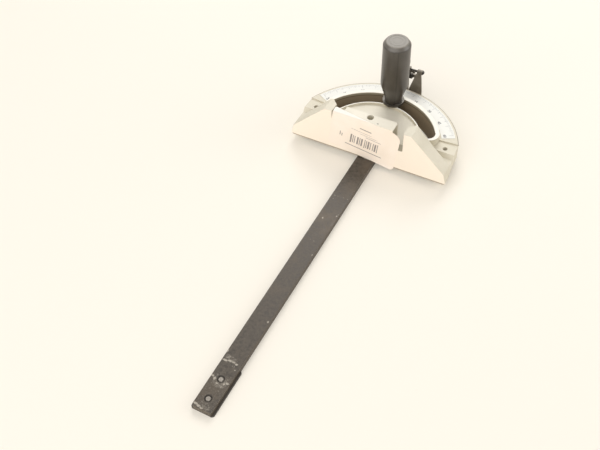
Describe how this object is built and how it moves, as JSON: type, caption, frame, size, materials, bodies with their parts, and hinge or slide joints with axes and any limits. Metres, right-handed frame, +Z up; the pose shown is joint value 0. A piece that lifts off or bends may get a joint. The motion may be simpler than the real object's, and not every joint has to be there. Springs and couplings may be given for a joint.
{
  "type": "miter gauge",
  "caption": "Miter gauge for a saw table: a black steel guide bar, a swinging cast head with a fence and angle scale, a screw-down clamp handle and a flip-up index lever.",
  "frame": {"origin": "on the bar's underside, on the axis the head turns about", "axes": "+Z up out of the saw table, +Y along the bar towards the angle scale, +X to the right seen from the front end of the bar; the fence faces -Y"},
  "size_m": [0.1772, 0.44, 0.1117],
  "materials": {
    "cast_aluminium": "sanded die casting, painted silver",
    "scale_plate": "satin anodised strip with black print",
    "blackened_steel": "black oxide, scuffed",
    "screw_steel": "black oxide",
    "pin_steel": "turned steel",
    "black_sheet": "black painted sheet",
    "pointer_sheet": "black painted strip",
    "black_plastic": "fine grained black plastic"
  },
  "bodies": {
    "root": {"guide_bar": "blackened_steel", "guide_plate": "blackened_steel", "guide_screw_front": "screw_steel", "guide_screw_rear": "screw_steel", "pivot_pin": "pin_steel", "pivot_washer": "pin_steel", "clamp_stud": "pin_steel", "stop_bracket": "black_sheet", "bracket_screw_left": "screw_steel", "bracket_screw_right": "screw_steel", "stop_pin": "screw_steel", "pin_clip_left": "screw_steel", "pin_clip_right": "screw_steel", "stop_screw": "screw_steel", "stop_nut": "screw_steel", "pointer": "pointer_sheet", "pointer_screw": "screw_steel"},
    "head": {"head_casting": "cast_aluminium", "angle_scale": "scale_plate"},
    "washer": {"clamp_washer": "black_sheet"},
    "handle": {"clamp_handle": "black_plastic", "handle_insert": "pin_steel"},
    "lever": {"stop_lever": "black_sheet"}
  },
  "joints": [
    {"name": "head_swing", "type": "hinge", "parent": "root", "child": "head", "pos_m": [0, 0, 0.0069], "axis": [0, 0, 1], "range_deg": [-60, 60]},
    {"name": "handle_lift", "type": "slide", "parent": "root", "child": "washer", "axis": [0, 0, 1], "range_m": [0, 0.0025]},
    {"name": "handle_turn", "type": "hinge", "parent": "washer", "child": "handle", "pos_m": [0, 0.0604, 0.035], "axis": [0, 0, 1], "range_deg": [0, 720]},
    {"name": "stop_lever_flip", "type": "hinge", "parent": "root", "child": "lever", "pos_m": [0, 0.097, 0.0498], "axis": [1, 0, 0], "range_deg": [-6, 84]}
  ],
  "couplings": [
    {"joint": "handle_turn", "follows": "handle_lift", "rad_per_m": 5026.5}
  ]
}
